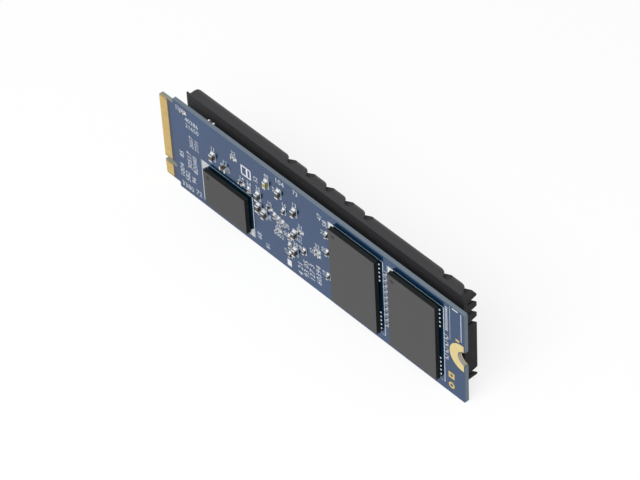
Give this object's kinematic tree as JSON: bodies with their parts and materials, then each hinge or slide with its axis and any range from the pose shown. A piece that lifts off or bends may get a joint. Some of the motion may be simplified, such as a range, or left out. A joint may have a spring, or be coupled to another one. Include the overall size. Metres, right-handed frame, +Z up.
{
  "type": "gumstick solid state drive",
  "caption": "Gumstick solid state drive: a narrow blue circuit board with flash packages, a memory chip and gold edge contacts, backed by a black grooved heatsink.",
  "frame": {"origin": "centre of the bottom of the bounding box, with the drive standing on its long edge", "axes": "+X from the edge contacts to the screw notch, +Y from the chip side to the heatsink, +Z up across the board's width"},
  "size_m": [0.08, 0.007, 0.022],
  "materials": {
    "board_laminate": "glossy solder mask",
    "gold_plate": "polished plating",
    "tin_plate": "satin solder",
    "moulded_package": "fine matte",
    "underfill_resin": "semi-gloss",
    "ferrite": "matte",
    "chip_ceramic": "matte",
    "crystal_can": "satin",
    "capacitor_ceramic": "semi-matte",
    "resistor_glaze": "glazed",
    "light_lens": "clear resin",
    "thermal_silicone": "soft matte",
    "silkscreen_ink": "matte print",
    "black_aluminium": "black satin coating"
  },
  "bodies": {
    "root": {"circuit_board": "board_laminate", "front_contacts": "gold_plate", "back_contacts": "gold_plate", "screw_land": "gold_plate", "test_pads": "gold_plate", "flash_side_pads": "tin_plate", "flash_front_inner": "moulded_package", "flash_front_outer": "moulded_package", "flash_back_inner": "moulded_package", "flash_back_outer": "moulded_package", "memory_chip": "moulded_package", "controller": "moulded_package", "power_manager": "moulded_package", "package_underfill": "underfill_resin", "power_inductors": "ferrite", "power_inductor_ends": "tin_plate", "crystal_base": "chip_ceramic", "crystal_lid": "crystal_can", "large_capacitor_bodies": "capacitor_ceramic", "large_capacitor_ends": "tin_plate", "small_capacitor_bodies": "capacitor_ceramic", "small_capacitor_ends": "tin_plate", "chip_resistor_bodies": "resistor_glaze", "chip_resistor_ends": "tin_plate", "ferrite_bead_bodies": "ferrite", "ferrite_bead_ends": "tin_plate", "status_light_bodies": "light_lens", "status_light_ends": "tin_plate", "supply_capacitor_bodies": "capacitor_ceramic", "supply_capacitor_ends": "tin_plate", "bypass_capacitor_bodies": "capacitor_ceramic", "bypass_capacitor_ends": "tin_plate", "thermal_pad": "thermal_silicone", "heatsink": "black_aluminium"}
  },
  "joints": []
}
